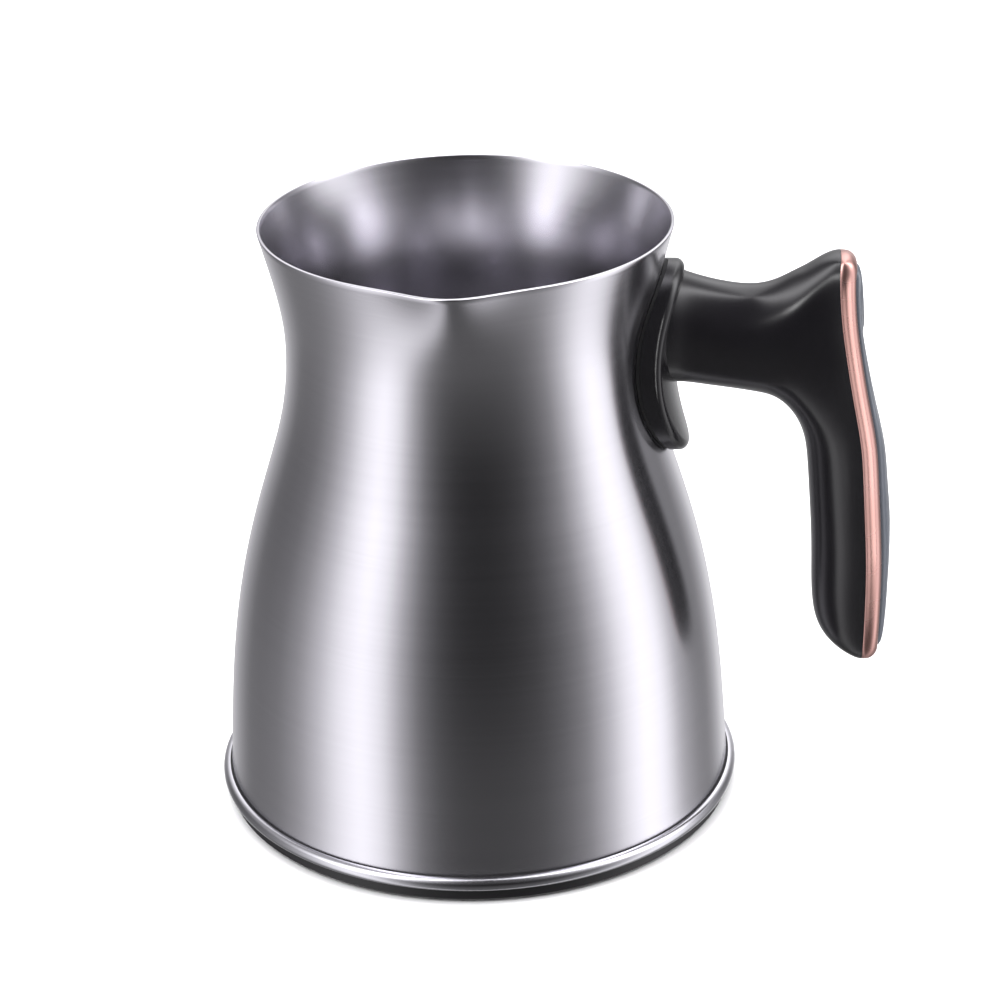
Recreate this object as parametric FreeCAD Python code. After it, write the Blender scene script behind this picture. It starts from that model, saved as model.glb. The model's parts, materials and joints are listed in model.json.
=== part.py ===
import FreeCAD, Part
import math
import os

# Stainless milk frother jug with a side handle and a lift-out magnetic whisk.
# Millimetres. Origin: on the table under the jug's axis. +Z up, handle along +X, pouring lip along -Y.

# --- Jug wall -------------------------------------------------------------------------------
jug_height = 150.0          # table to rim
rim_radius = 49.8           # outside, at the rim
waist_radius = 44.2         # outside, at the narrowest place
waist_height = 120.0        # table to the narrowest place
foot_radius = 63.7          # outside, at the bottom edge of the wall
sheet = 0.8                 # stainless sheet
wall_step = 8.0             # height between the wall's level sections
skirt_bottom = 4.9          # the wall's bottom edge above the table
# Outline between those: (share of the way from the end to the waist, share of the flare)
belly_shape = [
    (0.886, 0.957), (0.782, 0.914), (0.6255, 0.807), (0.469, 0.627), (0.3128, 0.364), (0.1564, 0.094),
]
mouth_shape = [(0.2, 0.049), (0.4, 0.219), (0.6, 0.442), (0.8, 0.72)]

# --- Pouring lip ----------------------------------------------------------------------------
lip_reach = 4.25            # how far the lip is pulled out at the rim
lip_spread = 8.7            # degrees, the width of the pulled part (standard deviation)
lip_depth = 23.0            # how far down the wall the pull fades out
lip_points = 48             # points around each level section of the wall

# --- Floor and heating plates ---------------------------------------------------------------
floor_underside = 9.0       # table to the underside of the welded floor pan
floor_corner = 5.0          # outside corner radius of the pan
floor_flange = 9.0          # height of the pan's upturned flange
weld_gap = 0.05             # between two welded or bonded sheets
spreader_radius = 50.0
spreader_thickness = 2.6
induction_thickness = 0.6

# --- Base -----------------------------------------------------------------------------------
bead_radius = 1.75          # half-round bead of the base ring
bead_height = 5.3           # table to the middle of the bead
gasket_width = 0.3          # silicone between the wall and the base ring
ring_ledge = 3.8            # how far the ring's ledge reaches in under the wall
ledge_thickness = 1.05
cover_bottom = 0.6          # table to the underside of the base cover
cover_thickness = 1.8
cover_setback = 1.7         # base cover's edge inside the bead's outer edge
spigot_wall = 1.6           # the cover's locating wall inside the base ring
spigot_height = 5.0
fit_gap = 0.2               # between a plastic part and what it fits into
sensor_radius = 14.0        # round window in the base cover for the base's sensor
foot_ring_width = 5.0
foot_ring_height = 1.4
foot_ring_inset = 1.8       # from the cover's edge to the foot ring
standoff_circle = 54.0      # radius of the circle of the base screws
standoff_radius = 2.75
standoff_count = 3
cover_chamfer = 0.5
cover_boss_height = 1.2     # boss under each standoff, above the cover's plate
cover_boss_wall = 0.9
base_screw_radius = 1.5
base_screw_grip = 3.9       # thread length inside the standoff
base_head_radius = 2.7
base_head_height = 1.5
base_head_sink = 0.1        # screw head above the cover's underside
base_slot_length = 3.2      # cross recess in the screw head
base_slot_width = 0.8
screw_clearance = 0.1
thread_gap = 0.05
thread_run_out = 0.5        # threaded hole deeper than its screw

# --- Whisk ----------------------------------------------------------------------------------
spindle_radius = 2.0
spindle_length = 11.2       # from the jug's floor to the spindle's tip
spindle_flange_radius = 6.0
spindle_flange = 1.0
spindle_flat = 0.5          # depth of the flat that keys the bush
spindle_chamfer = 0.4
bush_gap = 0.06             # bush on the spindle
bush_wall = 1.6
bush_flange = 1.0
bush_flange_radius = 5.0
bush_rise = 0.8             # bush above the spindle's tip
bush_lip = 0.45             # snap lip that holds the whisk on the bush
bush_lip_height = 1.0
pocket_gap = 0.4            # hub's pocket around the snap lip
running_gap = 0.05          # hub on the bush
axial_gap = 0.15
hub_radius = 15.0
hub_plate = 6.0             # thickness of the hub's disc
hub_boss_radius = 6.6
hub_boss_height = 13.2
rim_ring_radius = 26.0      # middle of the whisk's rim
rim_ring_width = 3.2
rim_ring_height = 4.4
spoke_count = 4
spoke_width = 2.6
spoke_height = 2.2
spoke_root = 1.0            # how far a spoke runs into the hub
coil_ring_radius = 28.2     # middle of the coil spring's ring
coil_radius = 2.0           # outer radius of the coiled wire
coil_gap = 0.05
magnet_radius = 3.0
magnet_height = 3.0
magnet_circle = 9.6
magnet_count = 4
cap_thickness = 0.8
cap_inset = 0.4             # cap's edges inside the hub's edge and outside the spindle's flange
knob_radius = 6.2
knob_neck_radius = 3.6
knob_height = 15.0
knob_collar = 0.8           # straight part above the hub
knob_neck_share = 0.35      # of the knob's height, where it is narrowest
knob_swell_share = 0.55     # of the knob's height, where it starts to widen
knob_swell = 0.4
knob_round = 2.4
knob_spigot = 1.8

# --- Handle ---------------------------------------------------------------------------------
pad_half_width = 17.3       # oval pad on the neck
pad_half_height = 24.0
pad_drop = 4.0              # the pad's middle below the waist
pad_thickness = 5.5         # from the wall to the pad's face
pad_round = 2.0
saddle_gasket = 1.0         # silicone under the pad's edge
saddle_gasket_band = 2.6
saddle_gasket_gap = 0.15    # between the silicone and the wall
saddle_gasket_setback = 0.3 # gasket's edge inside the pad's edge
bracket_thickness = 1.5
bracket_margin = 4.4        # pad's edge to the bracket's edge
boss_radius = 4.0
boss_spacing = 10.0
boss_rise = 1.8             # middle of the two bosses above the waist
boss_length = 7.0
handle_screw_radius = 2.0
handle_screw_grip = 4.5
handle_head_radius = 3.3
handle_head_height = 3.0
socket_radius = 1.6
socket_floor = 1.0          # left in the screw head under the socket
washer_radius = 3.8
washer_thickness = 0.8
end_wall_reach = 1.0        # arm's end wall beyond the bosses
shell_wall = 2.5
grip_line = 97.0            # jug axis to the back edge of the grip's shell
grip_rise = 20.8            # top of the grip above the waist
grip_length = 104.4
grip_depth = 13.1           # front to back of the shell in the straight part
grip_half_width = 10.4
horn_lean = 8.7             # how far the grip's top leans towards the jug
trim_depth = 4.2            # plated trim behind the shell
trim_wall = 2.4
trim_round = 1.9
panel_proud = 1.7           # back panel's crown above the trim's back edge
panel_recess = 1.2          # the panel's inner face behind the trim's front edge
panel_gap = 0.1
panel_round = 2.0
# Grip: (share of the length from the bottom, shell depth, lean, half width), all as shares
grip_sections = [
    (0.000, 0.11, 0.02, 0.48),
    (0.016, 0.285, 0.02, 0.65),
    (0.045, 0.60, 0.02, 0.79),
    (0.083, 0.83, 0.02, 0.865),
    (0.150, 0.975, 0.01, 0.93),
    (0.275, 1.00, 0.01, 0.99),
    (0.420, 0.99, 0.09, 1.00),
    (0.562, 0.94, 0.32, 1.00),
    (0.687, 0.85, 0.60, 0.98),
    (0.800, 0.80, 0.79, 0.93),
    (0.898, 0.72, 0.93, 0.78),
    (0.955, 0.61, 0.98, 0.64),
    (0.987, 0.35, 1.00, 0.50),
    (1.000, 0.10, 1.00, 0.36),
]
# Arm: (share of the way from the pad to the grip, underside below the waist, top above it, half width)
arm_sections = [
    (0.00, 9.8, 16.2, 12.0),
    (0.16, 10.4, 14.0, 10.5),
    (0.35, 11.2, 13.4, 10.0),
    (0.54, 12.6, 12.8, 9.8),
    (0.70, 14.8, 14.2, 9.7),
    (0.84, 19.6, 16.6, 9.5),
    (1.00, 30.0, 20.2, 7.5),
]
arm_inset = 11.0            # the arm's last section inside the grip's back edge
core_thickness = 2.5        # steel stiffener inside the handle
core_half_width = 6.5
core_web = 1.5
core_web_height = 12.0
bar_setback = 2.0           # the stiffener's bar in front of the grip's back edge at the top
bar_length = 66.0

# --- Working values -------------------------------------------------------------------------
section_power = 0.9         # below 1, sections are a little fuller than an ellipse
half_steps = 12             # steps along a half-round grip section
arm_points = 24             # points around an arm section
fuse_lap = 0.1              # how far pieces to be joined run into each other
cut_over = 1.0              # how far a cutting shape runs past what it cuts
neck_margin = 6.0           # the neck's cutting shape above and below the pad
strip_share = 0.02          # the back strip past the grip's ends, as a share of its length
strip_side = 5.0            # the back strip past the grip's sides
edge_search = 0.8           # how near an edge has to lie to be found
sliver = 0.01

V = FreeCAD.Vector
X_AXIS, Y_AXIS, Z_AXIS = V(1, 0, 0), V(0, 1, 0), V(0, 0, 1)


# --- Small helpers --------------------------------------------------------------------------
def disc(radius, bottom, top, x=0.0, y=0.0):
    """Upright cylinder between two heights."""
    return Part.makeCylinder(radius, top - bottom, V(x, y, bottom))


def bar(radius, start, end, y, z):
    """Cylinder along X between two places."""
    return Part.makeCylinder(radius, end - start, V(start, y, z), X_AXIS)


def block(x0, x1, half_width, z0, z1):
    """Box centred on the handle's plane."""
    return Part.makeBox(x1 - x0, 2 * half_width, z1 - z0, V(x0, -half_width, z0))


def turned(points):
    """Ring or disc turned from a closed outline of (radius, height) points."""
    corners = [V(r, 0, z) for r, z in points]
    face = Part.Face(Part.makePolygon(corners + corners[:1]))
    return face.revolve(V(0, 0, 0), Z_AXIS, 360)


def spline(points):
    curve = Part.BSplineCurve()
    curve.interpolate(points)
    return curve


def around(count, radius, start=0.0):
    """(x, y) places spaced evenly on a circle."""
    angles = [math.radians(start + 360.0 * i / count) for i in range(count)]
    return [(radius * math.cos(a), radius * math.sin(a)) for a in angles]


def one_solid(shape):
    """The shape as its single solid, or as it is where it holds several."""
    shape = shape.removeSplitter()
    return shape.Solids[0] if len(shape.Solids) == 1 else shape


def save(name, shape):
    shape.exportStep("parts/" + name + ".step")


# --- Jug wall -------------------------------------------------------------------------------
def outline():
    """The wall's outer outline from the bottom edge to the rim."""
    drop = waist_height - skirt_bottom
    rise = jug_height - waist_height
    points = [V(foot_radius, 0, skirt_bottom)]
    for down, flare in belly_shape:
        points.append(V(waist_radius + flare * (foot_radius - waist_radius), 0, waist_height - down * drop))
    points.append(V(waist_radius, 0, waist_height))
    for up, flare in mouth_shape:
        points.append(V(waist_radius + flare * (rim_radius - waist_radius), 0, waist_height + up * rise))
    points.append(V(rim_radius, 0, jug_height))
    return spline(points)


wall_line = outline()


def wall_radius(z):
    """Outer radius of the wall at a height, found by halving along the outline."""
    low, high = wall_line.FirstParameter, wall_line.LastParameter
    for _ in range(40):
        middle = (low + high) / 2
        if wall_line.value(middle).z < z:
            low = middle
        else:
            high = middle
    return wall_line.value(low).x


def inner_radius(z):
    """Inner radius: the sheet's thickness is measured square to the leaning wall."""
    step = 0.5
    low, high = max(skirt_bottom, z - step), min(jug_height, z + step)
    lean = (wall_radius(high) - wall_radius(low)) / (high - low)
    return wall_radius(z) - sheet * math.hypot(1, lean)


def levels(bottom, top, step=6.0):
    count = max(2, round((top - bottom) / step))
    return [bottom + (top - bottom) * i / count for i in range(count + 1)]


def wall_band(outside, inside, bottom, top):
    """Turned band between two curves given as functions of height."""
    outer = spline([V(outside(z), 0, z) for z in levels(bottom, top)])
    inner = spline([V(inside(z), 0, z) for z in levels(bottom, top)])
    edges = [
        outer.toShape(),
        Part.makeLine(V(outside(top), 0, top), V(inside(top), 0, top)),
        inner.toShape(),
        Part.makeLine(V(inside(bottom), 0, bottom), V(outside(bottom), 0, bottom)),
    ]
    face = Part.Face(Part.Wire(Part.__sortEdges__(edges)))
    return face.revolve(V(0, 0, 0), Z_AXIS, 360)


def lip_pull(angle, z):
    """How far the wall is pulled out at an angle from -Y, in degrees, and a height."""
    fade = max(0.0, 1 - (jug_height - z) / lip_depth)
    return lip_reach * fade ** 2 * math.exp(-0.5 * (angle / lip_spread) ** 2)


def lip_section(radius, z):
    """Closed level section of the wall: a circle with the lip pulled out of it."""
    points = []
    for i in range(lip_points):
        angle = 360.0 * i / lip_points
        offset = angle if angle <= 180 else angle - 360
        r = radius + lip_pull(offset, z)
        points.append(V(r * math.sin(math.radians(angle)), -r * math.cos(math.radians(angle)), z))
    curve = Part.BSplineCurve()
    curve.interpolate(Points=points, PeriodicFlag=True)
    return Part.Wire(curve.toShape())


def jug_body():
    """Drawn wall, open at both ends, with the pouring lip."""
    heights = levels(skirt_bottom, jug_height, wall_step)
    outer = Part.makeLoft([lip_section(wall_radius(z), z) for z in heights], True)
    inner = Part.makeLoft([lip_section(inner_radius(z), z) for z in heights], True)
    return one_solid(outer.cut(inner))


# --- Floor and heating plates ---------------------------------------------------------------
def jug_floor():
    """Drawn floor pan with an upturned flange, welded inside the wall."""
    corner_top = floor_underside + floor_corner
    top = floor_underside + floor_flange
    side = inner_radius(corner_top) - weld_gap
    flange = inner_radius(top) - weld_gap

    def outline_at(inset):
        corner = floor_corner - inset
        middle = corner * (1 - math.sqrt(0.5))
        low = floor_underside + inset
        line = Part.makeLine(V(0, 0, low), V(side - floor_corner, 0, low))
        bend = Part.Arc(
            V(side - floor_corner, 0, low),
            V(side - inset - middle, 0, low + middle),
            V(side - inset, 0, corner_top),
        ).toShape()
        wall = Part.makeLine(V(side - inset, 0, corner_top), V(flange - inset, 0, top))
        return [line, bend, wall]

    ends = [
        Part.makeLine(V(flange, 0, top), V(flange - sheet, 0, top)),
        Part.makeLine(V(0, 0, floor_underside), V(0, 0, floor_underside + sheet)),
    ]
    edges = outline_at(0) + outline_at(sheet) + ends
    face = Part.Face(Part.Wire(Part.__sortEdges__(edges)))
    return face.revolve(V(0, 0, 0), Z_AXIS, 360)


def heat_spreader():
    return disc(spreader_radius, floor_underside - spreader_thickness, floor_underside)


def induction_plate():
    top = floor_underside - spreader_thickness
    return disc(spreader_radius, top - induction_thickness, top)


def whisk_spindle():
    """Post with a flat, welded on the floor."""
    floor_top = floor_underside + sheet
    post = disc(spindle_radius, floor_top, floor_top + spindle_length)
    tip = [edge for edge in post.Edges if abs(edge.BoundBox.ZMin - post.BoundBox.ZMax) < sliver]
    post = post.makeChamfer(spindle_chamfer, tip)
    flat = Part.makeBox(
        spindle_radius, 4 * spindle_radius, spindle_length,
        V(spindle_radius - spindle_flat, -2 * spindle_radius, floor_top + spindle_flange),
    )
    return one_solid(post.cut(flat).fuse(disc(spindle_flange_radius, floor_top, floor_top + spindle_flange)))


# --- Base -----------------------------------------------------------------------------------
ledge_bottom = bead_height - bead_radius
ledge_top = ledge_bottom + ledge_thickness
ring_seat = foot_radius + gasket_width          # radius of the ring's inner wall
ring_inner = foot_radius - ring_ledge
cover_radius = ring_seat + bead_radius - cover_setback
standoff_bottom = cover_bottom + cover_thickness + cover_boss_height
standoff_places = around(standoff_count, standoff_circle, 90.0)


def base_ring():
    """Steel ring: a half-round bead outside, and a ledge that the wall stands on."""
    bead = Part.Arc(
        V(ring_seat, 0, bead_height - bead_radius),
        V(ring_seat + bead_radius, 0, bead_height),
        V(ring_seat, 0, bead_height + bead_radius),
    ).toShape()
    corners = [
        V(ring_seat, 0, bead_height + bead_radius),
        V(ring_seat, 0, ledge_top),
        V(ring_inner, 0, ledge_top),
        V(ring_inner, 0, ledge_bottom),
        V(ring_seat, 0, bead_height - bead_radius),
    ]
    edges = [bead] + Part.makePolygon(corners).Edges
    face = Part.Face(Part.Wire(Part.__sortEdges__(edges)))
    return face.revolve(V(0, 0, 0), Z_AXIS, 360)


def base_gasket():
    """Silicone between the wall's bottom edge and the base ring."""
    top = bead_height + bead_radius
    inside = foot_radius - sheet
    ring = turned([(inside, ledge_top), (ring_seat, ledge_top), (ring_seat, top), (inside, top)])
    above = top + cut_over
    wall = wall_band(lambda z: wall_radius(z) + sliver, lambda z: inside - cut_over, skirt_bottom, above)
    return one_solid(ring.cut(wall))


def base_cover():
    """Moulded cover: plate, locating wall, sensor window, foot ring groove and screw bosses."""
    plate_top = cover_bottom + cover_thickness
    spigot = ring_inner - fit_gap
    body = turned([
        (sensor_radius, cover_bottom), (cover_radius - cover_chamfer, cover_bottom),
        (cover_radius, cover_bottom + cover_chamfer), (cover_radius, ledge_bottom),
        (spigot, ledge_bottom), (spigot, ledge_bottom + spigot_height),
        (spigot - spigot_wall, ledge_bottom + spigot_height), (spigot - spigot_wall, plate_top),
        (sensor_radius, plate_top),
    ])
    for x, y in standoff_places:
        body = body.fuse(disc(standoff_radius + cover_boss_wall, plate_top - fuse_lap, standoff_bottom, x, y))
    for x, y in standoff_places:
        body = body.cut(disc(base_screw_radius + screw_clearance, 0, standoff_bottom + cut_over, x, y))
        recess_top = cover_bottom + base_head_sink + base_head_height
        body = body.cut(disc(base_head_radius + fit_gap, 0, recess_top, x, y))
    outer = cover_radius - foot_ring_inset
    groove_top = foot_ring_height
    groove = disc(outer, 0, groove_top).cut(disc(outer - foot_ring_width, 0, groove_top))
    return one_solid(body.cut(groove))


def foot_ring():
    """Silicone ring that the jug stands on, set in the cover's groove."""
    outer = cover_radius - foot_ring_inset
    return disc(outer, 0, foot_ring_height).cut(disc(outer - foot_ring_width, 0, foot_ring_height))


def base_standoffs():
    posts = []
    for x, y in standoff_places:
        post = disc(standoff_radius, standoff_bottom, floor_underside, x, y)
        hole_top = standoff_bottom + base_screw_grip + thread_run_out
        hole = disc(base_screw_radius + thread_gap, 0, hole_top, x, y)
        posts.append(post.cut(hole))
    return Part.makeCompound(posts)


def base_screws():
    """Pan-head screws through the cover into the standoffs."""
    head_bottom = cover_bottom + base_head_sink
    head_top = head_bottom + base_head_height
    screws = []
    for x, y in standoff_places:
        screw = disc(base_head_radius, head_bottom, head_top, x, y)
        screw = screw.fuse(disc(base_screw_radius, head_top, standoff_bottom + base_screw_grip, x, y))
        for long_x, long_y in [(base_slot_length, base_slot_width), (base_slot_width, base_slot_length)]:
            corner = V(x - long_x / 2, y - long_y / 2, head_bottom)
            screw = screw.cut(Part.makeBox(long_x, long_y, base_slot_width, corner))
        screws.append(one_solid(screw))
    return Part.makeCompound(screws)


# --- Whisk ----------------------------------------------------------------------------------
spindle_seat = floor_underside + sheet + spindle_flange       # top of the spindle's flange
hub_bottom = spindle_seat + bush_flange + axial_gap
bush_radius = spindle_radius + bush_gap + bush_wall
bush_top = floor_underside + sheet + spindle_length + bush_rise
hub_top = hub_bottom + hub_boss_height
lip_bottom = bush_top - bush_lip_height
hub_pocket = lip_bottom - axial_gap                           # floor of the pocket for the snap lip
pocket_radius = bush_radius + bush_lip + pocket_gap


def whisk_bush():
    """PTFE sleeve, keyed on the spindle's flat. The hub turns on it and its lip holds the hub."""
    body = disc(bush_flange_radius, spindle_seat, spindle_seat + bush_flange)
    body = body.fuse(disc(bush_radius, spindle_seat, bush_top))
    body = body.fuse(disc(bush_radius + bush_lip, lip_bottom, bush_top))
    hole = disc(spindle_radius + bush_gap, spindle_seat, bush_top)
    flat = Part.makeBox(
        spindle_radius, 4 * spindle_radius, bush_top,
        V(spindle_radius - spindle_flat + bush_gap, -2 * spindle_radius, 0),
    )
    return one_solid(body.cut(hole.cut(flat)))


def whisk_hub():
    """Moulded hub with its spokes and the grooved rim that carries the coil."""
    hub = disc(hub_radius, hub_bottom, hub_bottom + hub_plate)
    hub = hub.fuse(disc(hub_boss_radius, hub_bottom, hub_top))
    rim_low = hub_bottom + (hub_plate - rim_ring_height) / 2
    rim = disc(rim_ring_radius + rim_ring_width / 2, rim_low, rim_low + rim_ring_height)
    rim = rim.cut(disc(rim_ring_radius - rim_ring_width / 2, rim_low, rim_low + rim_ring_height))
    spoke_low = hub_bottom + (hub_plate - spoke_height) / 2
    for i in range(spoke_count):
        spoke = Part.makeBox(
            rim_ring_radius - hub_radius + spoke_root, spoke_width, spoke_height,
            V(hub_radius - spoke_root, -spoke_width / 2, spoke_low),
        )
        hub = hub.fuse(spoke.rotated(V(0, 0, 0), Z_AXIS, 45 + 360.0 * i / spoke_count))
    hub = hub.fuse(rim)
    groove = Part.makeTorus(coil_ring_radius, coil_radius + coil_gap, V(0, 0, hub_bottom + hub_plate / 2))
    hub = hub.cut(groove)
    hub = hub.cut(disc(bush_radius + running_gap, hub_bottom, hub_top))
    hub = hub.cut(disc(pocket_radius, hub_pocket, hub_top))
    for x, y in around(magnet_count, magnet_circle):
        pocket_top = hub_bottom + magnet_height + thread_gap
        hub = hub.cut(disc(magnet_radius + thread_gap, hub_bottom, pocket_top, x, y))
    return one_solid(hub)


def drive_magnets():
    top = hub_bottom + magnet_height
    places = around(magnet_count, magnet_circle)
    return Part.makeCompound([disc(magnet_radius, hub_bottom, top, x, y) for x, y in places])


def magnet_cap():
    """Thin ring welded over the magnets."""
    ring = disc(hub_radius - cap_inset, hub_bottom - cap_thickness, hub_bottom)
    return ring.cut(disc(spindle_flange_radius + cap_inset, hub_bottom - cap_thickness, hub_bottom))


def whisk_coil():
    """Coil spring closed into a ring, as a plain ring of its outer size."""
    return Part.makeTorus(coil_ring_radius, coil_radius, V(0, 0, hub_bottom + hub_plate / 2))


def whisk_knob():
    """Finger knob pressed into the top of the hub."""
    spigot = pocket_radius - thread_gap
    spigot_bottom = hub_top - knob_spigot
    top = hub_top + knob_height
    shoulder = top - knob_round
    collar_top = hub_top + knob_collar
    stem = Part.makePolygon([
        V(0, 0, spigot_bottom), V(spigot, 0, spigot_bottom), V(spigot, 0, hub_top),
        V(hub_boss_radius, 0, hub_top), V(hub_boss_radius, 0, collar_top),
    ])
    neck_line = spline([
        V(hub_boss_radius, 0, collar_top),
        V(knob_neck_radius, 0, hub_top + knob_neck_share * knob_height),
        V(knob_neck_radius + knob_swell, 0, hub_top + knob_swell_share * knob_height),
        V(knob_radius, 0, shoulder),
    ]).toShape()
    inward = knob_round * (1 - math.sqrt(0.5))
    crown = Part.Arc(
        V(knob_radius, 0, shoulder),
        V(knob_radius - inward, 0, top - inward),
        V(knob_radius - knob_round, 0, top),
    ).toShape()
    cap = Part.makePolygon([V(knob_radius - knob_round, 0, top), V(0, 0, top), V(0, 0, spigot_bottom)])
    edges = stem.Edges + [neck_line, crown] + cap.Edges
    face = Part.Face(Part.Wire(Part.__sortEdges__(edges)))
    return face.revolve(V(0, 0, 0), Z_AXIS, 360)


# --- Handle pad and bracket -----------------------------------------------------------------
pad_middle = waist_height - pad_drop
pad_face = waist_radius + pad_thickness
boss_middle = waist_height + boss_rise
boss_heights = [boss_middle + boss_spacing / 2, boss_middle - boss_spacing / 2]
boss_end = waist_radius + bracket_thickness + boss_length


def neck(offset):
    """Solid of the neck, grown by an offset, with its seam turned away from the handle."""
    bottom = pad_middle - pad_half_height - neck_margin
    top = min(pad_middle + pad_half_height + neck_margin, jug_height)
    points = [V(wall_radius(z) + offset, 0, z) for z in levels(bottom, top)]
    ends = Part.makePolygon([points[-1], V(0, 0, top), V(0, 0, bottom), points[0]]).Edges
    face = Part.Face(Part.Wire(Part.__sortEdges__([spline(points).toShape()] + ends)))
    return face.revolve(V(0, 0, 0), Z_AXIS, 360).rotated(V(0, 0, 0), Z_AXIS, 180)


def oval(inset):
    """Oval prism along X, the pad's outline less an inset."""
    width, height = pad_half_width - inset, pad_half_height - inset
    ellipse = Part.Ellipse(V(0, 0, pad_middle + height), V(0, width, pad_middle), V(0, 0, pad_middle))
    face = Part.Face(Part.Wire(ellipse.toShape()))
    return face.extrude(V(waist_radius + 4 * pad_thickness, 0, 0))


def saddle(low, high, inset):
    """Piece of a shell around the neck, cut to the pad's oval."""
    return neck(high).cut(neck(low)).common(oval(inset))


def handle_bracket():
    return one_solid(saddle(weld_gap, bracket_thickness, bracket_margin))


def handle_bosses():
    """Threaded bosses welded on the bracket."""
    bosses = []
    for z in boss_heights:
        boss = bar(boss_radius, waist_radius - neck_margin, boss_end, 0, z).cut(neck(bracket_thickness))
        hole_end = boss_end - handle_screw_grip - thread_run_out
        hole = bar(handle_screw_radius + thread_gap, hole_end, boss_end, 0, z)
        bosses.append(boss.cut(hole))
    return Part.makeCompound(bosses)


def handle_gasket():
    band = saddle(saddle_gasket_gap, saddle_gasket, saddle_gasket_setback)
    return one_solid(band.cut(oval(saddle_gasket_band)))


def handle_pad():
    """Moulded oval pad over the bracket, hollowed for it."""
    pad = one_solid(saddle(saddle_gasket, pad_thickness, 0.0))
    rim = []
    for edge in pad.Edges:
        point = edge.valueAt((edge.FirstParameter + edge.LastParameter) / 2)
        if math.hypot(point.x, point.y) - wall_radius(point.z) > pad_thickness - edge_search:
            rim.append(edge)
    pad = pad.makeFillet(pad_round, rim)
    pad = pad.cut(saddle(0, bracket_thickness + fit_gap, bracket_margin - fit_gap))
    for z in boss_heights:
        pad = pad.cut(bar(boss_radius + fit_gap, waist_radius - neck_margin, pad_face + neck_margin, 0, z))
    return one_solid(pad)


# --- Handle shell ---------------------------------------------------------------------------
grip_top = waist_height + grip_rise
grip_bottom = grip_top - grip_length
arm_start = pad_face - pad_round
arm_stop = grip_line - arm_inset
end_wall_face = boss_end + end_wall_reach            # inside face of the arm's end wall


def grip_height(share):
    return grip_bottom + share * grip_length


def half_round(share, depth, lean, width, inset, back):
    """One level section of the grip: rounded towards the jug, straight across the back."""
    z = grip_height(share)
    border = grip_line - lean * horn_lean
    reach = depth * grip_depth - inset
    half = width * grip_half_width - inset
    points = []
    for i in range(half_steps + 1):
        angle = math.pi * i / half_steps
        x = border - reach * math.sin(angle) ** section_power
        points.append(V(x, -half * math.cos(angle), z))
    edges = [spline(points).toShape()]
    if back:
        corners = [points[-1], V(border + back, half, z), V(border + back, -half, z), points[0]]
        edges += Part.makePolygon(corners).Edges
    else:
        edges.append(Part.makeLine(points[-1], points[0]))
    return Part.Wire(edges)


def grip(inset, rows, back=0.0):
    return Part.makeLoft([half_round(*row, inset, back) for row in rows], True)


def arm(inset, start):
    """Arm between the pad and the grip, oval in section."""
    sections = []
    for share, below, above, half in arm_sections:
        x = start + share * (arm_stop - start)
        low, high = waist_height - below + inset, waist_height + above - inset
        middle, tall, wide = (low + high) / 2, (high - low) / 2, half - inset
        points = []
        for i in range(arm_points):
            angle = 2 * math.pi * i / arm_points
            y = wide * math.copysign(abs(math.cos(angle)) ** section_power, math.cos(angle))
            z = tall * math.copysign(abs(math.sin(angle)) ** section_power, math.sin(angle))
            points.append(V(x, y, middle + z))
        curve = Part.BSplineCurve()
        curve.interpolate(Points=points, PeriodicFlag=True)
        sections.append(Part.Wire(curve.toShape()))
    return Part.makeLoft(sections, True)


def handle_shell():
    """Hollow arm and grip in one moulding, open at the back under the trim and panel."""
    outside = arm(0, arm_start).fuse(grip(0, grip_sections))
    outside = outside.cut(neck(pad_thickness))
    hollow = arm(shell_wall, arm_start).cut(block(0, end_wall_face, pad_half_height, 0, jug_height))
    outside = outside.cut(hollow).cut(grip(shell_wall, grip_sections[2:-2], trim_depth))
    for z in boss_heights:
        outside = outside.cut(bar(boss_radius + fit_gap, 0, end_wall_face + cut_over, 0, z))
    return one_solid(outside.cut(back_strip(0.0, 2 * trim_depth)))


def border_x(z, offset):
    """Place of the grip's back edge at a height."""
    rows = grip_sections
    share = (z - grip_bottom) / grip_length
    for (s0, _, lean0, _), (s1, _, lean1, _) in zip(rows, rows[1:]):
        if s0 <= share <= s1:
            lean = lean0 + (lean1 - lean0) * (share - s0) / (s1 - s0)
            return grip_line - lean * horn_lean + offset
    return grip_line - rows[-1][2] * horn_lean + offset


def back_strip(front, rear):
    """Everything between two copies of the grip's back edge, right across the grip."""
    leans = [(-strip_share, grip_sections[0][2])]
    leans += [(share, lean) for share, _, lean, _ in grip_sections[4:-2]]
    leans += [(1 + strip_share, grip_sections[-1][2])]
    places = [(grip_line - lean * horn_lean, grip_height(share)) for share, lean in leans]
    side = grip_half_width + strip_side
    near = [V(x + front, -side, z) for x, z in places]
    far = [V(x + rear, -side, z) for x, z in places]
    edges = [
        spline(near).toShape(), Part.makeLine(near[-1], far[-1]),
        spline(far).toShape(), Part.makeLine(far[0], near[0]),
    ]
    face = Part.Face(Part.Wire(Part.__sortEdges__(edges)))
    return face.extrude(V(0, 2 * side, 0))


def back_outline(inset):
    """The grip's outline seen from behind, less an inset, as a prism along X."""
    middle = (grip_top + grip_bottom) / 2
    half_height = grip_length / 2 - inset
    side = []
    for share, _, _, width in grip_sections[1:-1]:
        z = middle + (2 * share - 1) * half_height
        side.append(V(0, width * grip_half_width - inset, z))
    other = [V(0, -p.y, p.z) for p in reversed(side)]
    top, bottom = V(0, 0, middle + half_height), V(0, 0, middle - half_height)
    loop = side + [top] + other + [bottom]
    start = len(side) // 2                           # the seam lies on the straight side
    curve = Part.BSplineCurve()
    curve.interpolate(Points=loop[start:] + loop[:start], PeriodicFlag=True)
    return Part.Face(Part.Wire(curve.toShape())).extrude(V(2 * grip_line, 0, 0))


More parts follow.
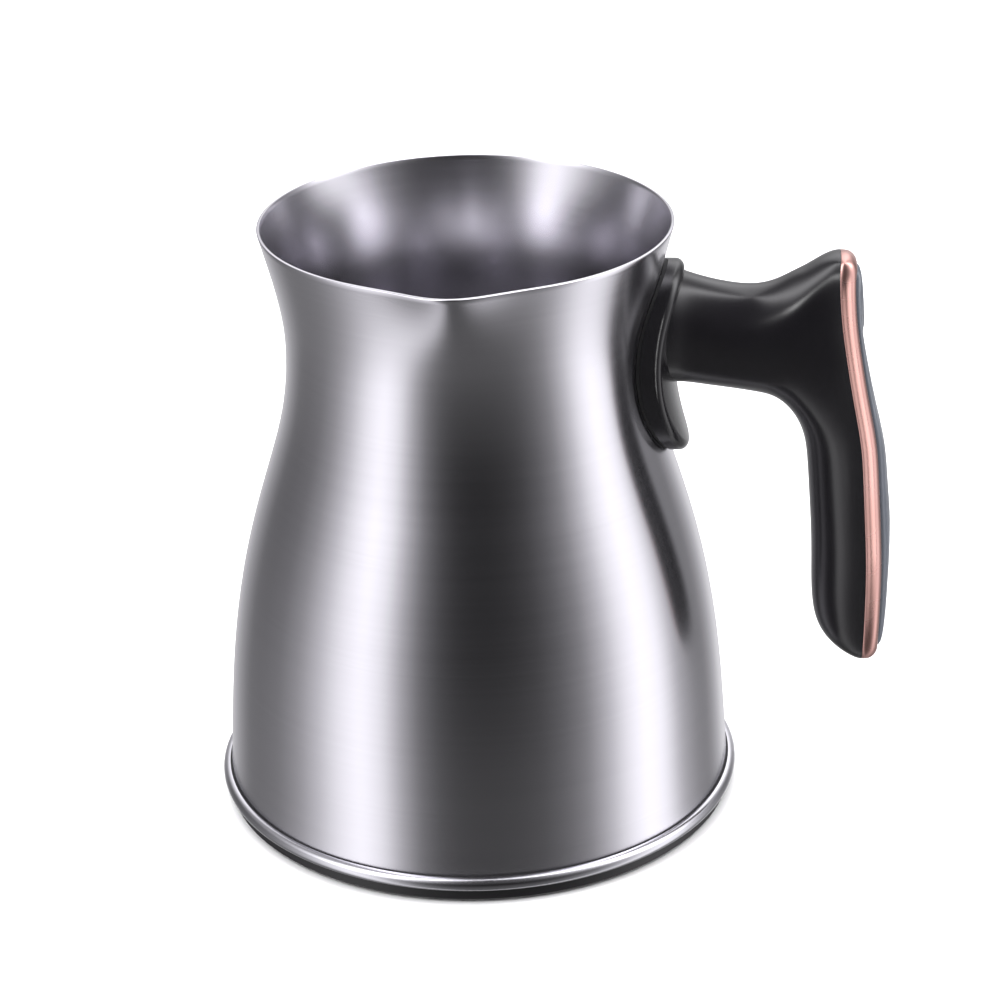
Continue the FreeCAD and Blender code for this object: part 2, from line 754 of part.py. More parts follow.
def long_edges(shape, offset):
    """The outline edges that lie on a copy of the grip's back edge."""
    found = []
    for edge in shape.Edges:
        middle = edge.valueAt((edge.FirstParameter + edge.LastParameter) / 2)
        if edge.Length > grip_length / 2 and abs(middle.x - border_x(middle.z, offset)) < edge_search:
            found.append(edge)
    return found


def handle_trim():
    """Plated frame around the back panel, its back edge rounded over."""
    frame = one_solid(back_strip(0.0, trim_depth).common(back_outline(0.0)))
    frame = frame.makeFillet(trim_round, long_edges(frame, trim_depth))
    return one_solid(frame.cut(back_outline(trim_wall)))


def handle_back_panel():
    """Crowned inlay inside the trim."""
    panel = back_strip(panel_recess, trim_depth + panel_proud).common(back_outline(trim_wall + panel_gap))
    panel = one_solid(panel)
    return panel.makeFillet(panel_round, long_edges(panel, trim_depth + panel_proud))


def handle_core():
    """Steel stiffener: end plate on the bosses, two webs along the arm, bar down the grip."""
    inset = shell_wall + fit_gap
    room = arm(inset, arm_start).fuse(grip(inset, grip_sections[2:-2]))
    plate_front = end_wall_face + fit_gap
    bar_front = grip_line - horn_lean - bar_setback
    bar_top = boss_middle + core_web_height / 2
    web_length = bar_front + core_thickness - plate_front
    core = block(plate_front, plate_front + core_thickness, core_half_width, 0, jug_height)
    core = core.common(arm(inset, arm_start))
    web = Part.makeBox(
        web_length, core_web, core_web_height,
        V(plate_front, core_half_width - core_web, bar_top - core_web_height),
    )
    core = core.fuse(web).fuse(web.mirror(V(0, 0, 0), Y_AXIS))
    bar_back = bar_front + core_thickness
    core = core.fuse(block(bar_front, bar_back, core_half_width, bar_top - bar_length, bar_top))
    core = core.common(room)
    for z in boss_heights:
        for radius, front in [(handle_screw_radius, plate_front), (washer_radius, bar_front)]:
            back = front + core_thickness
            core = core.cut(bar(radius + fit_gap, front - cut_over, back + cut_over, 0, z))
    return one_solid(core)


washer_front = end_wall_face + fit_gap + core_thickness


def handle_washers():
    washers = []
    for z in boss_heights:
        washer = bar(washer_radius, washer_front, washer_front + washer_thickness, 0, z)
        washer_back = washer_front + washer_thickness
        hole = bar(handle_screw_radius + fit_gap, washer_front - cut_over, washer_back + cut_over, 0, z)
        washers.append(washer.cut(hole))
    return Part.makeCompound(washers)


def handle_screws():
    """Screws from inside the arm, through core, shell and pad into the bosses."""
    head_front = washer_front + washer_thickness
    screws = []
    for z in boss_heights:
        screw = bar(handle_head_radius, head_front, head_front + handle_head_height, 0, z)
        screw = screw.fuse(bar(handle_screw_radius, boss_end - handle_screw_grip, head_front, 0, z))
        socket = bar(socket_radius, head_front + socket_floor, head_front + handle_head_height, 0, z)
        screws.append(one_solid(screw.cut(socket)))
    return Part.makeCompound(screws)


# --- All pieces -----------------------------------------------------------------------------
pieces = [
    jug_body, jug_floor, heat_spreader, induction_plate, whisk_spindle,
    base_ring, base_gasket, base_cover, foot_ring, base_standoffs, base_screws,
    whisk_bush, whisk_hub, drive_magnets, magnet_cap, whisk_coil, whisk_knob,
    handle_bracket, handle_bosses, handle_gasket, handle_pad,
    handle_shell, handle_trim, handle_back_panel, handle_core, handle_washers, handle_screws,
]

os.makedirs("parts", exist_ok=True)
for piece in pieces:
    shape = piece()
    save(piece.__name__, shape)
    print(piece.__name__, "valid" if shape.isValid() else "NOT VALID", len(shape.Solids), "solids",
          round(shape.Volume), "mm3")
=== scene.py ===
# %% [markdown]
# # A stainless milk frother jug with a black side handle
#
# The imported CAD model is the fixed frame of this scene. It gives every size and place, so nothing
# here is measured twice. We load it and start with nothing selected, because an operator acts on
# everything that is selected.

# %% Load the frame
import json
import math

import bmesh
import bpy
import numpy as np
from mathutils import Matrix, Vector

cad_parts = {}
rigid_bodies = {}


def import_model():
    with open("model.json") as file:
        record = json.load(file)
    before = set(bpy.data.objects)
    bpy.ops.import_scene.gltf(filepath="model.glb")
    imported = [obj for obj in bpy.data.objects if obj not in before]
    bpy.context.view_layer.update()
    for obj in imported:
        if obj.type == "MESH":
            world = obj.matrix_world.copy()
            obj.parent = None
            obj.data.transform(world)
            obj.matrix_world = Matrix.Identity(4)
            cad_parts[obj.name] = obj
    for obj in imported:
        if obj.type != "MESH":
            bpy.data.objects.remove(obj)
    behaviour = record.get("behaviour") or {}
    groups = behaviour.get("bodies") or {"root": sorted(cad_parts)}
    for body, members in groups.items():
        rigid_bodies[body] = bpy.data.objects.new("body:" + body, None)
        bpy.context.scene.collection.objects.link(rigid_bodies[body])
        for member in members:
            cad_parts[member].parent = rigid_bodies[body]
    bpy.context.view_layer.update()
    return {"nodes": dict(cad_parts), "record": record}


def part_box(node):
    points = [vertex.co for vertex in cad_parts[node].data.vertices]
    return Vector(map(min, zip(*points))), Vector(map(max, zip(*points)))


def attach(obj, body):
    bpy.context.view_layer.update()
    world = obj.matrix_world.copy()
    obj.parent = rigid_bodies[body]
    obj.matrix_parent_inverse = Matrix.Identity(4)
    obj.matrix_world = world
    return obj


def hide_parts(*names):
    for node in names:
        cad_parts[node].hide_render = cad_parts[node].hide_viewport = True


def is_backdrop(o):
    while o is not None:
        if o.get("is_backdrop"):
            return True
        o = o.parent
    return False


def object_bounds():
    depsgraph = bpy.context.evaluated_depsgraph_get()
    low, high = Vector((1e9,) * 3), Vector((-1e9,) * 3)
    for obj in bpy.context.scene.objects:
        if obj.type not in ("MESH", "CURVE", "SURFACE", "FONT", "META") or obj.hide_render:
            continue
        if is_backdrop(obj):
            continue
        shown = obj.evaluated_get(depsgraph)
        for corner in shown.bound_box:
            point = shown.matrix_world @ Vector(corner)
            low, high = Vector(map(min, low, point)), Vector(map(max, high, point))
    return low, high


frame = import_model()
nodes = frame["nodes"]
MM = 0.001
NEAR = 0.01 * MM              # closer than this, two places count as the same

# %% [markdown]
# ## Small tools for modelling by hand
#
# Modelling with operators means: make one object active, enter edit mode, select by place or
# normal, act, and leave. These helpers do only that, so the steps below read like the steps that
# a person makes.

# %% Helpers for selecting and editing
def start_clean():
    if bpy.context.object and bpy.context.object.mode != "OBJECT":
        bpy.ops.object.mode_set(mode="OBJECT")
    bpy.ops.object.select_all(action="DESELECT")


def make_active(piece):
    start_clean()
    piece.select_set(True)
    bpy.context.view_layer.objects.active = piece


def edit(piece):
    make_active(piece)
    bpy.ops.object.mode_set(mode="EDIT")


def leave():
    bpy.ops.object.mode_set(mode="OBJECT")


def pick(piece, kind, test):
    """Selects the vertices, edges or faces that pass a test, and nothing else. Returns how many."""
    bpy.ops.mesh.select_mode(type={"verts": "VERT", "edges": "EDGE", "faces": "FACE"}[kind])
    bpy.ops.mesh.select_all(action="DESELECT")
    mesh = bmesh.from_edit_mesh(piece.data)
    count = 0
    for item in getattr(mesh, kind):
        if test(item):
            item.select_set(True)
            count += 1
    mesh.select_flush_mode()
    bmesh.update_edit_mesh(piece.data)
    return count


def pick_all():
    bpy.ops.mesh.select_mode(type="VERT")
    bpy.ops.mesh.select_all(action="SELECT")


def extrude(offset):
    bpy.ops.mesh.extrude_region_move(TRANSFORM_OT_translate={"value": offset})


def resize(scale, centre):
    bpy.ops.transform.resize(value=scale, center_override=centre)


def move(offset):
    bpy.ops.transform.translate(value=offset)


def name_new(name):
    piece = bpy.context.object
    piece.name = name
    piece.data.name = name
    return piece


def apply_modifier(piece, kind, **settings):
    make_active(piece)
    modifier = piece.modifiers.new(kind, kind)
    for key, value in settings.items():
        setattr(modifier, key, value)
    bpy.ops.object.modifier_apply(modifier=modifier.name)


def subdivide_smooth(piece, levels):
    apply_modifier(piece, "SUBSURF", levels=levels, render_levels=levels)


def smooth(piece, degrees):
    """Shades the piece smooth, but leaves a crease where it turns by more than this."""
    make_active(piece)
    bpy.ops.object.shade_smooth_by_angle(angle=math.radians(degrees))


def face_outwards(piece):
    """Makes the normals agree, and turns them all away from the piece's middle."""
    edit(piece)
    pick_all()
    bpy.ops.mesh.normals_make_consistent(inside=False)
    leave()
    faces = piece.data.polygons
    middle = sum((face.center for face in faces), Vector()) / len(faces)
    if sum(face.normal.dot(face.center - middle) * face.area for face in faces) < 0:
        edit(piece)
        pick_all()
        bpy.ops.mesh.flip_normals()
        leave()


def settle(piece, body, node):
    """Puts the piece's place in its mesh, ties it to its body, and hides the CAD node it stands for."""
    make_active(piece)
    bpy.ops.object.transform_apply(location=True, rotation=True, scale=True)
    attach(piece, body)
    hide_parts(node)
    print(piece.name, len(piece.data.polygons), "faces")


start_clean()
print("helpers ready")

# %% [markdown]
# ## The jug's wall
#
# The real wall is a stainless tube that is spun and pressed to a waisted shape, and then the lip
# is pulled out of the rim with a rounded punch. We work the same way: a ring of points goes up in
# steps, each step widened or narrowed to the outline, and then the points near the front of the rim
# are pulled outwards. A subdivision surface smooths the outline, and Solidify gives the sheet its
# thickness.

# %% Wall outline and sizes
SHEET = 0.8 * MM
RIM_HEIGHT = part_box("jug_body")[1].z
# Outer radius and height in millimetres: foot, shoulder, waist and flared rim.
wall_outline = [
    (63.7, 4.9), (62.86, 18.0), (62.02, 30.0), (59.94, 48.0), (56.43, 66.0), (51.3, 84.0), (46.03, 102.0),
    (44.2, 120.0), (44.47, 126.0), (45.43, 132.0), (46.68, 138.0), (48.23, 144.0), (49.8, 150.0),
]
# The rings are closer together at the two edges, where the subdivision would pull the shape in.
ring_heights = [4.9, 7, 10, 14] + list(range(18, 145, 6)) + [147.5, 150]


def spline_through(points):
    """A natural cubic spline through (value, place) points, as a function of the place."""
    values, places = np.array(points).T
    gaps = np.diff(places)
    slopes = np.diff(values) / gaps
    rows, right = np.eye(len(points)), np.zeros(len(points))
    for i in range(1, len(points) - 1):
        rows[i, i - 1:i + 2] = gaps[i - 1], 2 * (gaps[i - 1] + gaps[i]), gaps[i]
        right[i] = 6 * (slopes[i] - slopes[i - 1])
    bends = np.linalg.solve(rows, right)

    def value_at(place):
        i = min(max(int(np.searchsorted(places, place)) - 1, 0), len(gaps) - 1)
        after, before = (place - places[i]) / gaps[i], (places[i + 1] - place) / gaps[i]
        curved = (before ** 3 - before) * bends[i] + (after ** 3 - after) * bends[i + 1]
        return float(before * values[i] + after * values[i + 1] + curved * gaps[i] ** 2 / 6)

    return value_at


wall_radius = spline_through(wall_outline)
print("wall rings:", len(ring_heights), "waist radius in mm:", round(wall_radius(120), 2))

# %% Raise the wall ring by ring
WALL_SIDES = 96
start_clean()
radius, height = wall_radius(ring_heights[0]), ring_heights[0]
bpy.ops.mesh.primitive_circle_add(vertices=WALL_SIDES, radius=radius * MM, location=(0, 0, 0))
jug_wall = name_new("jug_wall")
edit(jug_wall)
pick_all()
move((0, 0, height * MM))
for next_height in ring_heights[1:]:
    next_radius = wall_radius(next_height)
    extrude((0, 0, (next_height - height) * MM))
    growth = next_radius / radius
    resize((growth, growth, 1), (0, 0, next_height * MM))
    radius, height = next_radius, next_height
print("wall points:", len(bmesh.from_edit_mesh(jug_wall.data).verts))

# %% [markdown]
# The punch that forms the lip is narrow, and its pull fades quickly down the wall. Proportional
# editing pulls as far down as it does sideways, so here each point of the ring cage is moved in code
# instead: a bell curve round the jug, times a squared fade down from the rim.

# %% Pull the pouring lip
LIP_PULL, LIP_SPREAD, LIP_DEPTH = 4.3 * MM, math.radians(8.7), 23.0 * MM
leave()
for point in jug_wall.data.vertices:
    angle = math.atan2(point.co.x, -point.co.y)
    fade = max(0.0, 1 - (RIM_HEIGHT - point.co.z) / LIP_DEPTH)
    pull = LIP_PULL * fade ** 2 * math.exp(-0.5 * (angle / LIP_SPREAD) ** 2)
    point.co += Vector((math.sin(angle), -math.cos(angle), 0)) * pull
print("lip reaches", round(-min(v.co.y for v in jug_wall.data.vertices if v.co.z > RIM_HEIGHT - MM) / MM, 2),
      "mm from the axis")

# %% [markdown]
# The sheet's cut edge at the rim is broken on the real jug, so that it doesn't scratch a lip or a
# cloth. A small bevel on the rim's two sharp edges does that, and catches the thin bright line.

# %% Smooth the wall, give it its thickness and break its sharp edges
RIM_BAND, RIM_BREAK, SHARP = 0.35 * MM, 0.22 * MM, math.radians(50)
subdivide_smooth(jug_wall, 1)
face_outwards(jug_wall)
apply_modifier(jug_wall, "SOLIDIFY", thickness=SHEET, offset=-1.0)
edit(jug_wall)
rim_edges = pick(jug_wall, "edges", lambda e: (
    all(v.co.z > RIM_HEIGHT - RIM_BAND for v in e.verts)
    and len(e.link_faces) == 2 and e.calc_face_angle(0) > SHARP))
bpy.ops.mesh.bevel(offset=RIM_BREAK, segments=2, affect="EDGES")
leave()
smooth(jug_wall, 50)
settle(jug_wall, "jug", "jug_body")
print("rounded rim edges:", rim_edges)

# %% [markdown]
# ## The handle's shell
#
# The real handle is one glossy moulding: a tall half-round grip, open at the back, that flows into
# an arm reaching for the jug's neck. A flowing joint like that is what subdivision surfaces are
# good at. We build a coarse cage from two pieces, a grip raised row by row from a half circle and an
# arm extruded from a ring of points, bridge the arm to a hole in the grip's front, and let the
# subdivision round it all off.

# %% Grip rows and arm rings, in millimetres
# Grip: height, front of the grip, back border, half width.
grip_rows = [
    (36.2, 94.9, 96.8, 5.2), (37.8, 91.3, 96.8, 7.2), (40.8, 87.7, 96.8, 8.5), (46.0, 84.8, 96.9, 9.4),
    (55.0, 83.9, 97.0, 10.0), (66.0, 83.9, 96.9, 10.4), (78.0, 83.1, 96.1, 10.5), (88.0, 82.4, 95.5, 10.5),
    (96.0, 81.6, 94.9, 10.5), (103.0, 81.0, 93.6, 10.4), (110.0, 80.5, 92.2, 10.3), (117.0, 80.0, 91.0, 10.0),
    (123.0, 80.0, 90.0, 9.4), (129.0, 79.8, 89.2, 8.5), (134.6, 78.6, 88.8, 7.5), (138.4, 80.4, 88.7, 6.5),
    (140.8, 84.0, 88.8, 5.3), (141.9, 86.6, 89.0, 3.9),
]
# Arm: place along X, underside, top, half width.
arm_rings = [
    (47.5, 109.3, 138.2, 13.2), (50.0, 109.7, 138.0, 12.3), (53.0, 109.4, 136.9, 10.9),
    (58.0, 108.6, 135.4, 10.2), (64.0, 107.8, 134.2, 10.0), (69.5, 106.9, 133.9, 9.9),
    (74.0, 105.9, 135.2, 9.8), (78.3, 102.3, 137.8, 9.6),
]
GRIP_POINTS = 9
HOLE_COLUMNS, HOLE_LOW, HOLE_HIGH = 6, 96.0, 138.4
HOLE_WIDTH = 0.9              # share of the grip's width; the outermost column on each side lies beyond it
hole_rows = sum(HOLE_LOW <= row[0] <= HOLE_HIGH for row in grip_rows) - 1
ARM_POINTS = 2 * (HOLE_COLUMNS + hole_rows)
SMOOTHING_GAIN = 1.026        # a half round of nine points loses this much when it is smoothed
print("the hole and the arm's rings have", ARM_POINTS, "points")

# %% Raise the grip from a half circle
start_clean()
bpy.ops.mesh.primitive_circle_add(vertices=2 * (GRIP_POINTS - 1), radius=MM, location=(0, 0, 0))
handle_shell = name_new("handle_shell_formed")
edit(handle_shell)
pick(handle_shell, "verts", lambda v: v.co.x > NEAR)
bpy.ops.mesh.delete(type="VERT")
pick_all()
height, front, border, half = grip_rows[0]
resize(((border - front) * SMOOTHING_GAIN, half * SMOOTHING_GAIN, 1), (0, 0, 0))
move((border * MM, 0, height * MM))
for next_height, next_front, next_border, next_half in grip_rows[1:]:
    extrude(((next_border - border) * MM, 0, (next_height - height) * MM))
    scale_x = (next_border - next_front) / (border - front)
    resize((scale_x, next_half / half, 1), (next_border * MM, 0, next_height * MM))
    height, front, border, half = next_height, next_front, next_border, next_half
print("grip cage:", len(bmesh.from_edit_mesh(handle_shell.data).faces), "faces")

# %% Close the grip's two ends and cut the hole for the arm
END_STEP = 0.55
for (height, _, border, _), way in ((grip_rows[0], -1), (grip_rows[-1], 1)):
    pick(handle_shell, "edges", lambda e: all(abs(v.co.z - height * MM) < NEAR for v in e.verts))
    extrude((0, 0, way * END_STEP * MM))
    bpy.ops.mesh.merge(type="CENTER")
    pick(handle_shell, "verts", lambda v: way * (v.co.z - height * MM) > NEAR)
    tip = [v.co.copy() for v in bmesh.from_edit_mesh(handle_shell.data).verts if v.select][0]
    move((border * MM - tip.x, 0, 0))


def row_value(z, column):
    """A column of the grip's rows at a height in millimetres, in a straight line between rows."""
    z = min(max(z, grip_rows[0][0]), grip_rows[-1][0])
    for lower, upper in zip(grip_rows, grip_rows[1:]):
        if z <= upper[0]:
            share = (z - lower[0]) / (upper[0] - lower[0])
            return lower[column] + share * (upper[column] - lower[column])


def in_hole(face):
    middle = face.calc_center_median() / MM
    reach = HOLE_WIDTH * SMOOTHING_GAIN * row_value(middle.z, 3)
    return HOLE_LOW < middle.z < HOLE_HIGH and abs(middle.y) < reach


removed = pick(handle_shell, "faces", in_hole)
bpy.ops.mesh.delete(type="FACE")
leave()
print("hole faces taken out:", removed)

# %% Draw the arm ring by ring
start_clean()
bpy.ops.mesh.primitive_circle_add(
    vertices=ARM_POINTS, radius=MM, location=(0, 0, 0), rotation=(math.pi / 2, 0, math.pi / 2))
arm = name_new("arm")
bpy.ops.object.transform_apply(location=True, rotation=True, scale=True)
place, low, high, half = arm_rings[0]
edit(arm)
pick_all()
resize((1, half, (high - low) / 2), (0, 0, 0))
move((place * MM, 0, (low + high) / 2 * MM))
for next_place, next_low, next_high, next_half in arm_rings[1:]:
    rise = (next_low + next_high - low - high) / 2
    extrude(((next_place - place) * MM, 0, rise * MM))
    centre = (next_place * MM, 0, (next_low + next_high) / 2 * MM)
    resize((1, next_half / half, (next_high - next_low) / (high - low)), centre)
    place, low, high, half = next_place, next_low, next_high, next_half
leave()
print("arm cage:", len(arm.data.polygons), "faces in", len(arm_rings) - 1, "rows")

# %% [markdown]
# In the mould the arm and the grip are one cavity, and the tool maker rounds the inside corner
# between them. Bridging the arm's last ring to the hole gives the faces of that corner, and three
# levels of subdivision round it.

# %% Join the arm to the grip and smooth the whole cage
ARM_END, ARM_END_HALF = arm_rings[-1][0], arm_rings[-1][3]
HOLE_FRONT, HOLE_BACK = 79.0, 92.0        # the hole's edge lies between these places along X,
OFF_BORDER = 1.0                          # and at least this far from the open back
start_clean()
arm.select_set(True)
handle_shell.select_set(True)
bpy.context.view_layer.objects.active = handle_shell
bpy.ops.object.join()


def on_arm_end(vertex):
    return abs(vertex.co.x - ARM_END * MM) < NEAR and abs(vertex.co.y) < ARM_END_HALF * MM + NEAR


def on_hole(vertex):
    x, _, z = vertex.co / MM
    return HOLE_FRONT < x < HOLE_BACK and abs(x - row_value(z, 2)) > OFF_BORDER


edit(handle_shell)
hole_edges = pick(handle_shell, "edges", lambda e: e.is_boundary and (
    all(on_arm_end(v) for v in e.verts) or all(on_hole(v) for v in e.verts)))
bpy.ops.mesh.bridge_edge_loops()
pick_all()
bpy.ops.mesh.normals_make_consistent(inside=False)
leave()
print("edges bridged:", hole_edges, "cage faces:", len(handle_shell.data.polygons))
subdivide_smooth(handle_shell, 3)
print("smoothed shell:", len(handle_shell.data.polygons), "faces")

# %% [markdown]
# ## The plated trim and the back panel
#
# Behind the shell the real handle has a moulded ring, plated rose gold, with a flat flank and a
# rounded back edge, and a dark crowned panel fills it. Both follow the shell's back border exactly,
# so we take them from it: the border loop is copied out of the shell, extruded backwards in steps
# that shrink a little each time for the trim, and the trim's last loop is the panel's first.

# %% Copy the shell's back border
BACK_FROM = 86.0              # a boundary edge behind this place along X is the back border's
GRIP_MIDDLE = Vector((0, 0, (grip_rows[0][0] + grip_rows[-1][0]) / 2)) * MM
GRIP_HALF_HEIGHT = (grip_rows[-1][0] - grip_rows[0][0]) / 2 + END_STEP
GRIP_HALF_WIDTH = 10.5


def copy_loop(piece, test, name):
    """Copies the edges that pass a test into a new piece."""
    before = set(bpy.data.objects)
    edit(piece)
    count = pick(piece, "edges", test)
    bpy.ops.mesh.duplicate()
    bpy.ops.mesh.separate(type="SELECTED")
    leave()
    loop = [o for o in bpy.data.objects if o not in before][0]
    loop.name = loop.data.name = name
    print(name, "starts as a loop of", count, "edges")
    return loop


def draw_in(size, inset, end_inset):
    """Draws the loop in towards the grip's middle. Returns its half sizes."""
    width, height = size
    resize((1, (width - inset) / width, (height - end_inset) / height), GRIP_MIDDLE)
    return width - inset, height - end_inset


def step_back(size, step, inset, end_share=1.0):
    """Extrudes the loop backwards and draws it in, at its ends by a share of that.
    Returns the loop's half sizes."""
    extrude((step * MM, 0, 0))
    return draw_in(size, inset, inset * end_share)


def on_back_border(edge):
    return edge.is_boundary and all(v.co.x > BACK_FROM * MM for v in edge.verts)


trim = copy_loop(handle_shell, on_back_border, "handle_trim_plated")

# %% [markdown]
# A fine groove parts the two mouldings on the real handle, where the plated ring is pressed into
# place. Then come the flank, which leans in a little for the mould, the rounded edge and a short
# return that the panel sits against.

# %% Extrude the trim: a fine groove, the flat flank, the rounded edge and the return
GROOVE = 0.16
# Each step of the trim: how far back, how far inwards.
trim_steps = [
    (0.18, -GROOVE), (1.0, 0.05), (0.65, 0.12), (0.6, 0.25), (0.55, 0.4), (0.45, 0.5),
    (0.33, 0.55), (0.16, 0.5), (0.02, 0.3), (-0.2, 0.22), (-0.6, 0.1), (-0.7, 0.0),
]
size = (GRIP_HALF_WIDTH, GRIP_HALF_HEIGHT)
edit(trim)
pick_all()
size = draw_in(size, GROOVE, GROOVE)
for step, inset in trim_steps:
    size = step_back(size, step, inset)
leave()
opening = [round(2 * half, 1) for half in size]
print("trim:", len(trim.data.polygons), "faces, opening in mm:", opening)

# %% [markdown]
# The panel is a separate moulding that clips into the ring, in a softer, darker plastic that sits
# in the palm. Its crown comes from steps that draw in more and rise less, until the loop closes.

# %% Raise the back panel from the trim's inner edge and close it along its middle
INNER_EDGE = 1.5              # the trim's inner edge lies at least this far behind the back border
panel_steps = [(0.9, 0.04), (0.9, 0.1), (0.5, 0.3), (0.4, 0.6), (0.35, 1.0), (0.3, 1.4), (0.25, 1.7)]
LAST_RISE = 0.1
PANEL_END_SHARE = 2.5         # at its ends the crown draws in this much faster than at its sides


def on_inner_edge(edge):
    return edge.is_boundary and all(
        v.co.x / MM - row_value(v.co.z / MM, 2) > INNER_EDGE for v in edge.verts)


panel = copy_loop(trim, on_inner_edge, "handle_back_panel_crowned")
edit(panel)
pick_all()
for step, inset in panel_steps:
    size = step_back(size, step, inset, PANEL_END_SHARE)
step_back(size, LAST_RISE, size[0])
bpy.ops.mesh.select_all(action="SELECT")
bpy.ops.mesh.remove_doubles(threshold=NEAR)
leave()
print("panel:", len(panel.data.polygons), "faces")

# %% [markdown]
# All three are sheets so far. Solidify gives each the thickness of its moulding, inwards, so the
# outside stays where it was drawn.

# %% Give the shell its wall and finish the three pieces
for piece, thickness, slot, node in (
    (handle_shell, 2.0 * MM, "gloss_black", "handle_shell"),
    (trim, 0.4 * MM, "rose_gold", "handle_trim"),
    (panel, 1.0 * MM, "dark_grey_panel", "handle_back_panel"),
):
    face_outwards(piece)
    apply_modifier(piece, "SOLIDIFY", thickness=thickness, offset=-1.0)
    smooth(piece, 50)
    settle(piece, "jug", node)

# %% [markdown]
# ## The whisk's coil
#
# The froth comes from a stainless coil spring, closed into a ring and snapped into the whisk's rim.
# It is a screw shape bent round a circle, so we make it in those two steps: a small circle of wire
# is screwed upwards into a straight spring, and a Curve modifier bends the spring round a ring.

# %% Wind the coil
COIL_RING_RADIUS, COIL_RADIUS, WIRE_RADIUS = 28.2 * MM, 2.0 * MM, 0.4 * MM
COIL_PITCH = 1.6 * MM
WIRE_SIDES, STEPS_A_TURN = 8, 14
coil_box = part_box("whisk_coil")
coil_height = (coil_box[0].z + coil_box[1].z) / 2
turns = round(2 * math.pi * COIL_RING_RADIUS / COIL_PITCH)
start_clean()
bpy.ops.mesh.primitive_circle_add(
    vertices=WIRE_SIDES, radius=WIRE_RADIUS,
    location=(COIL_RADIUS - WIRE_RADIUS, 0, 0), rotation=(math.pi / 2, 0, 0))
coil = name_new("whisk_coil_wound")
bpy.ops.object.transform_apply(location=True, rotation=True, scale=True)
apply_modifier(
    coil, "SCREW", screw_offset=COIL_PITCH, iterations=turns,
    steps=STEPS_A_TURN, render_steps=STEPS_A_TURN,
    use_merge_vertices=False, use_normal_calculate=True)
start_clean()
bpy.ops.curve.primitive_bezier_circle_add(radius=COIL_RING_RADIUS, location=(0, 0, coil_height))
ring = bpy.context.object
ring.data.resolution_u = 48
ring.data.use_stretch = True
ring.data.use_deform_bounds = True
apply_modifier(coil, "CURVE", object=ring, deform_axis="POS_Z")
bpy.data.objects.remove(ring)
coil_top = max(v.co.z for v in coil.data.vertices)
print("coil:", turns, "turns,", len(coil.data.polygons), "faces, radius of its turns in mm:",
      round((coil_top - coil_height) / MM, 2))
edit(coil)
pick_all()
bpy.ops.mesh.remove_doubles(threshold=2 * NEAR)
bpy.ops.mesh.normals_make_consistent(inside=False)
leave()
smooth(coil, 70)
settle(coil, "whisk", "whisk_coil")

# %% [markdown]
# ## Materials
#
# Every finish is made of shader nodes, with no picture files. Two helpers are enough: one turns a
# sRGB hex colour into the linear numbers that Blender wants, and one adds a node with its settings
# and its links. Patterns read Object coordinates, which are in metres here, so each pattern's scale
# comes from a real size in millimetres.

# %% Helpers for colours and nodes
def colour(code):
    """An sRGB hex colour as linear red, green, blue and alpha."""
    parts = [int(code[i:i + 2], 16) / 255 for i in (1, 3, 5)]
    return tuple(p / 12.92 if p <= 0.04045 else ((p + 0.055) / 1.055) ** 2.4 for p in parts) + (1.0,)


def add(material, kind, links=None, settings=None, **values):
    """Adds a node. Links go from an output to a named or numbered input, values onto sockets,
    and settings onto the node itself."""
    tree = material.node_tree
    node = tree.nodes.new(kind)
    for key, value in (settings or {}).items():
        setattr(node, key, value)
    for key, value in values.items():
        node.inputs[key.replace("_", " ")].default_value = value
    for key, output in (links or {}).items():
        tree.links.new(output, node.inputs[key])
    return node


def blank(name):
    """A new material with only its output, and its object coordinates."""
    material = bpy.data.materials.new(name)
    material.use_nodes = True
    material.node_tree.nodes.clear()
    place = add(material, "ShaderNodeTexCoord").outputs["Object"]
    return material, place


def shade(material, links, **values):
    """Ends a material with a Principled shader."""
    shader = add(material, "ShaderNodeBsdfPrincipled", links, **values)
    add(material, "ShaderNodeOutputMaterial", {"Surface": shader.outputs[0]})
    return material


def per(millimetres):
    """A noise scale for features of this size."""
    return 1.0 / (millimetres * MM)


def two_tones(material, share, dark, light):
    """A colour that goes between two hex colours with a share."""
    tone = add(material, "ShaderNodeMix", {0: share}, {"data_type": "RGBA"})
    tone.inputs[6].default_value = colour(dark)
    tone.inputs[7].default_value = colour(light)
    return tone.outputs[2]


print("a feature of 0.5 mm has a scale of", per(0.5))

# %% [markdown]
# ### Brushed stainless steel
#
# The jug is AISI 304 sheet, spun and then brushed with an abrasive belt while it turned, so fine
# scratches run round it. They do two things: they stretch each reflection up and down the wall,
# across the scratches, and they show as faint level lines. The stretch is the shader's anisotropy
# with a tangent that runs round the axis. The lines are a noise that changes quickly with height
# and hardly at all round the jug. Real scratches are about 0.05 mm apart, too fine to show here,
# so they are drawn 0.35 mm apart, with a broader and fainter set over them.

# %% Brushed and satin steel
BROAD_SPACING, BROAD_LENGTH, BROAD_SHARE = 7.0, 1.5, 0.35
ACROSS = 0.25                 # a quarter turn lays the stretch across the scratches


